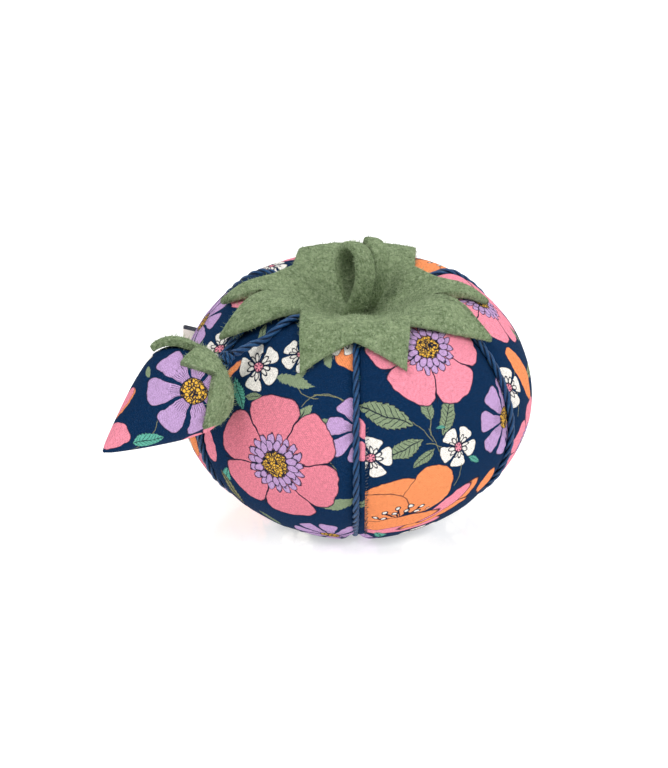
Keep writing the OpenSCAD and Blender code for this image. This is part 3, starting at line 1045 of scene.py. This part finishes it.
def make_tether():
    """The free cord: one twisted rope along the tether's path, in place of the CAD cord and its anchor."""
    path = tether_path()
    length = float(distance_along(path)[-1])
    cord = rope("tether_twist", path, CORD_D)
    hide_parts("tether_cord", "tether_anchor")
    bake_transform(cord)


# --- cover panels
GORE_COLUMNS = 41
STRIP_COLUMNS = 8       # of them, beside the closing seam of the first gore
SEAM_GAP = 0.002        # half the space between the columns at the closing seam


def gore_columns(index, r):
    """Places across a gore, -1 to 1, close together at its seams."""
    even = np.linspace(-1.0, 1.0, GORE_COLUMNS)
    if index != 0:
        return np.sin(math.pi / 2 * even)
    seam = min(-0.55, -1 + SEAM_OFFSET / (r * rad(GORE_ANGLE / 2)))
    beside = np.linspace(-1.0, seam - SEAM_GAP, STRIP_COLUMNS)
    t = np.linspace(0.0, 1.0, GORE_COLUMNS - STRIP_COLUMNS)
    t = 0.5 * t + 0.5 * (1 - np.cos(math.pi * t)) / 2
    return np.concatenate([beside, seam + SEAM_GAP + (1 - SEAM_GAP - seam) * t])


SEAM_DIP = 2.2          # depth of a seam's valley under the cushion
SEAM_RISE = 1.3         # how much shallower it is on the flank
SEAM_W = 1.5            # distance from a seam over which its valley fades
CLOSING_DIP = 0.45      # the groove of the closing seam, and its width
CLOSING_W = 0.4
UNEVEN = 0.20           # lumps of the packing and puckers of the seams


def gore_height(index, w, r, z, v):
    """How far the pattern stands off the outline at the place w across a gore and v up it."""
    flank = smooth_step((z - 0.3) / 5.0)
    to_seam = (1 - abs(w)) * r * rad(GORE_ANGLE / 2)
    height = CROWN * (1 - w * w) * flank - (SEAM_DIP - SEAM_RISE * flank) * bell(to_seam / SEAM_W)
    spot = Vector((r * sin_deg(w * GORE_ANGLE / 2), v * 0.8, index * 7.0))
    height += UNEVEN * flank * noise.noise(spot * 0.13)
    height += UNEVEN * flank * math.exp(-to_seam / 2.4) * noise.noise(spot * 0.55)
    if index == 0 and w < 0 and SEAM_LOW < v < SEAM_HIGH:
        height -= CLOSING_DIP * bell((to_seam - SEAM_OFFSET) / CLOSING_W)
    return height


def gore_points(index):
    """Points of a gore's pattern, their places in its print, and each row's distance from the belly."""
    path, normal, along = meridian()
    middle = GORE_ANGLE * (index + 0.5)
    points, uvs = [], []
    for (r, z), (nr, nz), v in zip(path, normal, along):
        for w in gore_columns(index, r):
            angle = w * GORE_ANGLE / 2
            height = gore_height(index, w, r, z, v)
            x, y, zz = around(r + nr * height, z + nz * height, middle + angle)
            points.append((x, y, max(FLOOR_GAP, zz)))
            uvs.append((r * rad(angle), v))
    return points, uvs, along


def shift_strip(panel, along):
    """Moves the print on the strip beside the closing seam, face by face, so that nothing smears."""
    layer = panel.data.uv_layers["print"].data
    for face in panel.data.polygons:
        row, column = divmod(face.index, GORE_COLUMNS - 1)
        if column < STRIP_COLUMNS - 1 and SEAM_LOW < along[row] < SEAM_HIGH:
            for corner in face.loop_indices:
                layer[corner].uv.x += STRIP_SHIFT


SIM_SCALE = 0.1         # the cloth is settled at 100 times its size
SIM_FRAMES = 24
SIM_GROWTH = 0.012      # spare cloth, which puckers along the seams
SIM_LIMIT = 0.35        # farthest the cloth may leave its pattern
CLOTH = {
    "quality": 6,
    "mass": 0.2,
    "tension_stiffness": 20.0,
    "compression_stiffness": 20.0,
    "shear_stiffness": 8.0,
    "bending_stiffness": 0.4,
    "air_damping": 3.0,
    "vertex_group_mass": "held",
    "shrink_min": -SIM_GROWTH,
    "use_pressure": True,
    "uniform_pressure_force": 0.9,
}


def settle_cloth(points, faces, held):
    """Lets the filling press the cloth out between its seams; held points stay."""
    start = np.asarray(points, float)
    mesh = bpy.data.meshes.new("cloth_to_settle")
    mesh.from_pydata([tuple(p * SIM_SCALE) for p in start], [], faces)
    cloth = bpy.data.objects.new("cloth_to_settle", mesh)
    bpy.context.collection.objects.link(cloth)
    group = cloth.vertex_groups.new(name="held")
    group.add([int(i) for i in held], 1.0, "REPLACE")
    settings = cloth.modifiers.new("cloth", "CLOTH").settings
    for key, value in CLOTH.items():
        setattr(settings, key, value)
    settings.effector_weights.gravity = 0.0
    scene = bpy.context.scene
    for number in range(1, SIM_FRAMES + 1):
        scene.frame_set(number)
    settled = cloth.evaluated_get(bpy.context.evaluated_depsgraph_get()).data
    end = np.array([v.co[:] for v in settled.vertices]) / SIM_SCALE
    scene.frame_set(1)
    bpy.data.objects.remove(cloth, do_unlink=True)
    move = end - start
    far = np.linalg.norm(move, axis=1, keepdims=True)
    return start + move * np.minimum(1.0, SIM_LIMIT / np.maximum(far, 1e-9))


def held_points(index, points, rows):
    """Numbers of the points that are sewn or rest on the table: edges, underside and closing seam."""
    sewn = {0, 1, GORE_COLUMNS - 2, GORE_COLUMNS - 1}
    if index == 0:
        sewn |= {STRIP_COLUMNS - 1, STRIP_COLUMNS}
    base_rows = sum(1 for p in points[::GORE_COLUMNS] if p[2] < 1.0) + 2
    held = []
    for k in range(rows * GORE_COLUMNS):
        row, column = divmod(k, GORE_COLUMNS)
        if column in sewn or row < base_rows or row > rows - 3:
            held.append(k)
    return held


def make_cover():
    """Six gores of printed cotton, each settled on the packing."""
    prints = [front_right_print(), right_print(), back_right_print(),
              back_left_print(), left_print(), front_left_print()]
    for i, material in enumerate(prints):
        points, uvs, along = gore_points(i)
        rows = len(along)
        faces = grid_faces(rows, GORE_COLUMNS)
        settled = settle_cloth(points, faces, held_points(i, points, rows))
        settled[:, 2] = np.maximum(settled[:, 2], FLOOR_GAP)
        panel = make_mesh(f"printed_gore_{i + 1}", settled, faces, material, uvs)
        if i == 0:
            shift_strip(panel, along)
        thicken(panel, COVER_T)
        place(panel, "cushion", "print_cotton", f"cover_panel_{i + 1}")


def make_stuffing():
    """Packed fibre inside the cover, a little lumpy."""
    rows = [(3.0, 1.2), (18.0, 1.2)]
    rows += [lifted(b, -1.9) for b in np.arange(-56.0, 83.1, 4.0)]
    columns = 72
    points = []
    for r, z in rows:
        for j in range(columns):
            azimuth = 360.0 * j / columns
            x, y, zz = around(r, z, azimuth)
            lump = 1 + 0.006 * noise.noise(Vector((x, y, zz)) * 0.12)
            points.append((x * lump, y * lump, zz))
    faces = tube_faces(len(rows), columns)
    fibre = make_mesh("packed_fibre", points, faces, fibre_material("packed_fibre"))
    place(fibre, "cushion", "packing", "stuffing")


# --- felt
# Edge of the leaf cap, from the front left tip round: tips and, between them, the cuts.
# Each point is [azimuth, distance from the axis].
CAP_EDGE = [
    [(-21, 37), (-12.4, 33.3), (-0.9, 30.4), (10.7, 33.2)],
    [(19, 36.4), (22.6, 32), (28.7, 27.4), (46, 31.8)],
    [(61.6, 36.6), (64, 30), (77, 21.6), (77.5, 26.5)],
    [(86, 32.6), (95, 25.2), (131.8, 21.4), (143, 26)],
    [(156, 37), (163, 30), (178, 24), (-170, 29)],
    [(-161, 37), (-147, 27), (-131.4, 22), (-95, 26)],
    [(-86, 32.8), (-79, 28.6), (-78.5, 24.2), (-67, 31)],
    [(-61.9, 36.3), (-47.5, 30.3), (-41.2, 21.8), (-25.6, 31)],
]
EDGE_STEPS = 8


def calyx_outline():
    """Leaf edge as [azimuth, reach] pairs: sharp at tips and cuts, straight or bowed between."""
    corners = [np.array(around(r, 0.0, a)[:2]) for leaf in CAP_EDGE for a, r in leaf]
    count = len(corners)
    edge = []
    for i in range(0, count, 2):
        p0, bow, p1 = corners[i], corners[i + 1], corners[(i + 2) % count]
        pull = 2 * bow - (p0 + p1) / 2
        for k in range(2 * EDGE_STEPS):
            t = k / (2 * EDGE_STEPS)
            p = (1 - t) ** 2 * p0 + 2 * t * (1 - t) * pull + t * t * p1
            edge.append((math.degrees(math.atan2(p[0], -p[1])), float(np.hypot(p[0], p[1]))))
    return edge


EDGE_ROUND = 1.1        # distance from a cut edge over which felt reaches its full thickness


def lumps(point, coarse, fine, height):
    """Unevenness of felt: coarse and fine lumps, the fine ones half as high."""
    return noise.noise(point * coarse) * height + noise.noise(point * fine) * height / 2


def felt_solid(name, edge, at, inner, thickness, lift, rings):
    """Sheet of felt with a soft cut edge. at(angle, reach, height) is the surface it lies on."""
    near_edge = [0.955, 0.97, 0.98, 0.988, 0.994, 0.998, 1.0]
    shares = np.concatenate([np.linspace(0.0, 0.94, rings), near_edge])
    layers = {}
    for side in (-1, 1):
        rows = []
        for share in shares:
            for angle, reach in edge:
                r = inner + (reach - inner) * share
                from_edge = min(1.0, (1 - share) * (reach - inner) / EDGE_ROUND)
                half = thickness / 2 * math.sqrt(max(0.0, 1 - (1 - from_edge) ** 2)) + 0.02
                middle = lift(angle, r, share) + thickness / 2
                wool = lumps(Vector(at(angle, r, middle + side * half)), 0.9, 2.6, 0.10)
                rows.append(at(angle, r, middle + side * half + wool))
        layers[side] = rows
    columns = len(edge)
    count = len(shares) * columns
    points = layers[-1] + layers[1]
    low = grid_faces(len(shares), columns, wrap=True)
    top = [tuple(count + n for n in f) for f in low]
    faces = [f[::-1] for f in top] + low
    rim = (len(shares) - 1) * columns
    for j in range(columns):
        k = (j + 1) % columns
        faces.append((rim + j, rim + k, count + rim + k, count + rim + j))
        faces.append((j, count + j, count + k, k))
    return make_mesh(name, points, faces, FELT)


FUZZ_LENGTH = (0.35, 0.75)      # least length of a loose fibre, and how much more it may have
FUZZ_HALF_W = 0.055


def add_fuzz(name, felt, count, body):
    """Loose wool fibres that stand out of a felt piece."""
    mesh = felt.data
    rng = np.random.default_rng(7)
    places = np.array([v.co[:] for v in mesh.vertices]) / MM
    normals = np.array([v.normal[:] for v in mesh.vertices])
    areas = np.array([f.area for f in mesh.polygons])
    chosen = rng.choice(len(areas), count, p=areas / areas.sum())
    points, faces = [], []
    for k in chosen:
        corners = list(mesh.polygons[k].vertices)
        share = rng.dirichlet(np.ones(len(corners)))
        root = share @ places[corners]
        out = share @ normals[corners]
        lean = rng.normal(size=3)
        way = out * 0.5 + lean * 0.6
        way /= np.linalg.norm(way)
        length = FUZZ_LENGTH[0] + FUZZ_LENGTH[1] * rng.random()
        bend = rng.normal(size=3) * 0.25
        wide = np.cross(way, out + 0.1 * lean)
        wide *= FUZZ_HALF_W / max(1e-6, np.linalg.norm(wide))
        start = len(points)
        for t in (0.0, 0.5, 1.0):
            middle = root + way * length * t + bend * length * t * t
            width = wide * (1.0 - 0.6 * t)
            points += [middle - width, middle + width]
        faces += [(start, start + 1, start + 3, start + 2), (start + 2, start + 3, start + 5, start + 4)]
    points = np.array(points)
    points[:, 2] = np.maximum(points[:, 2], 0.05)
    fuzz = make_mesh(name, points, faces, WOOL)
    place(fuzz, body, "felt")


def calyx_lift(azimuth, reach, share):
    """The cap rides over the ribs, and the leaf beside the tether stands up a little."""
    to_rib = abs((azimuth + 30.0) % 60.0 - 30.0) * rad(1.0) * reach
    over_rib = 0.75 * bell(to_rib / 4.0)
    wave = 0.22 * sin_deg(azimuth * 3 + 40) * share
    behind = 0.4 * smooth_step((abs(azimuth) - 110.0) / 50.0)
    loose = 1.3 * bell((azimuth + 50.0) / 10.0)
    loose *= smooth_step((reach - 17.0) / 7.0) * smooth_step((-36.0 - azimuth) / 6.0)
    return 0.75 + over_rib + wave + loose - behind


CAP_HOLE = 1.2          # radius of the hole for the centre tie


def make_calyx():
    calyx = felt_solid("felt_leaf_cap", calyx_outline(), over_cover, CAP_HOLE, FELT_T, calyx_lift, 30)
    add_fuzz("leaf_cap_fuzz", calyx, 12000, "cushion")
    place(calyx, "cushion", "felt", "calyx")


def strip(name, path, width_dir, width, thickness):
    """Felt strip with soft edges swept along a path."""
    segments = 28
    path = np.asarray(path, float)
    tangent = directions(path)
    points = []
    for i, centre in enumerate(path):
        wide = np.asarray(width_dir, float) - tangent[i] * np.dot(width_dir, tangent[i])
        wide /= np.linalg.norm(wide)
        thick = np.cross(wide, tangent[i])
        for j in range(segments):
            a = 2 * math.pi * j / segments
            c, s = math.cos(a), math.sin(a)
            x = width / 2 * math.copysign(abs(c) ** 0.45, c)
            y = thickness / 2 * math.copysign(abs(s) ** 0.65, s)
            point = centre + x * wide + y * thick
            wool = lumps(Vector(point), 1.1, 3.0, 0.08)
            points.append(point + wool * (c * wide + s * thick))
    faces = [f[::-1] for f in tube_faces(len(path), segments)]
    return make_mesh(name, points, faces, FELT)


LOOP_BASE = 53.2        # height of the loop's foot
LOOP_W = 12.6           # first turn, seen from its side
LOOP_H = 18.6
STRIP_W = 5.3           # the felt strip; the second turn lies this far beside the first
STRIP_T = 2.4


def make_stem_loop():
    """Coiled strip: a front strand, over the top, down the back, and a second turn on the right."""
    aim = rad(34)
    axis = np.array([-math.cos(aim), -math.sin(aim), 0.0])
    back = np.array([-math.sin(aim), math.cos(aim), 0.0])
    path = []
    for t in np.linspace(6.0, 540.0, 160):
        turn = smooth_step((t - 210.0) / 200.0)
        width = LOOP_W - 0.6 * turn
        height = LOOP_H - 1.0 * turn
        across = -width / 2 * sin_deg(t) * abs(sin_deg(t / 2)) ** 0.9
        rise = height / 2 * (1 - cos_deg(t))
        lean = 0.12 * rise - 1.9
        shift = back * (across + 1.0 * turn) - axis * (STRIP_W * turn + lean)
        path.append(shift + np.array([0, 0, LOOP_BASE + rise + 1.0 * turn]))
    loop = strip("felt_stem_loop", path, axis + np.array([0, 0, 0.35]), STRIP_W, STRIP_T)
    add_fuzz("stem_loop_fuzz", loop, 3000, "cushion")
    place(loop, "cushion", "felt", "stem_loop")


# --- strawberry
def berry_frame():
    """Unit vectors of the strawberry: two across it, and its axis towards the knot."""
    ct, st = cos_deg(BERRY_TILT), sin_deg(BERRY_TILT)
    ca, sa = cos_deg(BERRY_TURN), sin_deg(BERRY_TURN)
    x = np.array([ct * ca, ct * sa, -st])
    y = np.array([-sa, ca, 0.0])
    z = np.array([st * ca, st * sa, ct])
    return x, y, z


BERRY_AXES = berry_frame()
BERRY_TOP = np.array(HANG) - CAP_DROP * BERRY_AXES[2]


def berry_outline(q):
    """Distance from the axis, and height, from the top (q 0) by the shoulder (90) to the tip (180)."""
    if q < 90:
        return np.array([BERRY_R * sin_deg(q), -DOME_H * (1 - cos_deg(q))])
    down = (q - 90) / 90
    return np.array([BERRY_R * (1 - min(1.0, down) ** CONE_POWER), -DOME_H - CONE_H * down])


def berry_point(r, z, angle):
    x, y, axis = BERRY_AXES
    return BERRY_TOP + r * (cos_deg(angle) * x + sin_deg(angle) * y) + z * axis


def over_berry(angle, q, height):
    r, z = stand_off(berry_outline, q, -height)
    return tuple(berry_point(r, z, angle))


def berry_height(angle, q, z, from_seam):
    """How far the printed cone stands off its outline: its seam, its lumps and its gathers."""
    height = -0.45 * bell(from_seam / 0.8)
    spot = Vector((cos_deg(angle), sin_deg(angle), z * 0.09))
    height += 0.28 * noise.noise(spot * 1.6) * sin_deg(q)
    if q < 60:
        height += 0.3 * cos_deg(angle * 14) * (1 - q / 60)
    return height


def make_berry_shell():
    """One cone of printed cotton with a seam at its back."""
    columns = 73
    rows = np.concatenate([np.arange(10.0, 170.0, 2.5), [170, 173, 176, 178.5, 180.0]])
    path = np.array([berry_outline(q) for q in rows])
    along = distance_along(path)
    shoulder = int(np.argmin(abs(rows - 90)))
    points, uvs = [], []
    for (r, z), q, v in zip(path, rows, along):
        for j in range(columns):
            angle = BERRY_FACING - 180.0 + 360.0 * j / (columns - 1)
            from_seam = min(j, columns - 1 - j) / (columns - 1) * 2 * math.pi * r
            height = berry_height(angle, q, z, from_seam)
            blunt = 0.5 * bell((180 - q) / 5.0)
            points.append(berry_point(max(0.05, r + height * sin_deg(q)), z + blunt, angle))
            uvs.append((r * rad(angle - BERRY_FACING), -(v - along[shoulder])))
    shell = make_mesh("printed_strawberry", points, grid_faces(len(rows), columns), berry_print(), uvs)
    thicken(shell, BERRY_CLOTH_T)
    place(shell, "berry", "print_cotton", "berry_shell")


# Cap leaves: direction round the strawberry, how far down its outline the tip reaches, and
# the bow of its edges (1 straight, below 1 broad).
CAP_TIPS = [(-148, 69, 1.3), (-70, 92, 0.8), (4, 92, 1.0), (76, 90, 1.0), (163, 88, 0.9)]
CAP_NOTCH = 37.0


def cap_outline():
    """Edge of the strawberry's cap as pairs of direction and reach down the outline."""
    edge = []
    steps = 24
    for i, (angle, reach, bow) in enumerate(CAP_TIPS):
        after = CAP_TIPS[(i + 1) % len(CAP_TIPS)]
        step_to = (after[0] - angle) % 360
        for k in range(steps):
            u = k / steps
            tip, power = (reach, bow) if u < 0.5 else (after[1], after[2])
            edge.append((angle + step_to * u, CAP_NOTCH + (tip - CAP_NOTCH) * abs(2 * u - 1) ** power))
    return edge


# Leaves that stand off: direction of the tip, where the curl starts, its height, and the height of
# the arch between root and tip.
CAP_CURLS = [(163, 60.0, 0.2, 0.9), (-66, 62.0, 0.35, 0.0), (-148, 50.0, 0.5, 0.0)]


def cap_lift(angle, q, share):
    """The leaves lie on the strawberry; three of them curl or arch away from it."""
    lift = 0.2 + 0.3 * noise.noise(Vector((cos_deg(angle), sin_deg(angle), q * 0.02)) * 1.5)
    for tip, start, curl, arch in CAP_CURLS:
        away = abs((angle - tip + 180.0) % 360.0 - 180.0)
        near = smooth_step((50.0 - away) / 30.0)
        lift += curl * near * max(0.0, (q - start) / 30.0) ** 1.5
        lift += arch * near * math.sin(math.pi * min(1.0, max(0.0, (q - 35.0) / 60.0)))
    return lift


def make_berry_cap():
    cap = felt_solid("felt_strawberry_cap", cap_outline(), over_berry, 7.0, BERRY_FELT_T, cap_lift, 24)
    add_fuzz("strawberry_cap_fuzz", cap, 3500, "berry")
    place(cap, "berry", "felt", "berry_cap")


def make_knot():
    """Two small wraps of the cord, sewn to the strawberry's cap."""
    x, y, axis = BERRY_AXES
    whole = 2 * math.pi * 2.2
    path = [np.array(HANG) - axis * 2.9]
    for t in np.linspace(0.0, whole, 70):
        r = 1.0 + 0.25 * math.cos(t * 1.3)
        rise = -1.6 + 2.2 * t / whole
        path.append(np.array(HANG) + r * (math.cos(t) * x + math.sin(t) * y) + axis * rise)
    knot = rope("tether_knot", path, 1.5, pitch=4.0, step=0.25)
    place(knot, "tether_end", "navy_cord", "berry_knot")


# --- label and stitches
def make_label():
    """Folded woven tape held in the fifth seam: blank."""
    seam = GORE_ANGLE * 4
    out, height, top = 6.4, 11.5, LABEL_TOP
    half = 0.42
    fold = [(0.0, -half), (out - half, -half)]
    fold += [(out - half + half * sin_deg(a), -half * cos_deg(a)) for a in range(15, 180, 15)]
    fold += [(out - half, half), (0.0, half)]
    rows = 13
    points = []
    for i in range(rows):
        z = top - height + height * i / (rows - 1)
        for s, side in fold:
            bow = 0.35 * math.sin(math.pi * i / (rows - 1)) * s / out
            x, y, _ = around(BODY_R - 0.5 + s, z, seam)
            tangent = around(1.0, 0.0, seam + 90.0)
            shift = 1.6 + side + bow
            points.append((x + tangent[0] * shift, y + tangent[1] * shift, z))
    label = make_mesh("blank_side_label", points, grid_faces(rows, len(fold)), label_material("woven_label"))
    thicken(label, 0.22, offset=0.0)
    place(label, "cushion", "woven_label", "label_tag")


def make_closing_stitches():
    """Small stitches that close the cover beside the front rib."""
    sides = 6
    thread_r = 0.10
    points, faces = [], []
    for n, b in enumerate(np.arange(-44.0, 18.0, 1.45)):
        r, _ = lifted(b, 0.0)
        azimuth = math.degrees(SEAM_OFFSET / r)
        reach = math.degrees((0.55 + 0.25 * math.sin(n * 2.3)) / r)
        ends = [np.array(around(*lifted(b + 0.25 * side, -0.2), azimuth + reach * max(0, side)))
                for side in (-1, 1)]
        mid = np.array(around(*lifted(b, 0.12), azimuth + reach * 0.5))
        path = rounded(np.array([ends[0], mid, ends[1]]))
        faces += tube_faces(len(path), sides, start=len(points))
        for centre, across, up in zip(path, *path_frames(path)):
            points += circle(centre, across, up, thread_r, sides)
    stitches = make_mesh("closing_stitches", points, faces, DARK_THREAD)
    place(stitches, "cushion", "navy_cord")


# --- carried-over CAD nodes
def paint_node(name, material):
    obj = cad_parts[name]
    obj.data.materials.clear()
    obj.data.materials.append(material)


set_camera()
set_stage()
make_tether()
make_ribs()
make_cover()
make_stuffing()
make_calyx()
make_stem_loop()
make_berry_shell()
make_berry_cap()
make_knot()
make_label()
make_closing_stitches()
for node_name in ("centre_tie", "base_knot", "berry_gather_thread"):
    paint_node(node_name, THREAD)
paint_node("berry_filling", grit_material("emery_grit"))
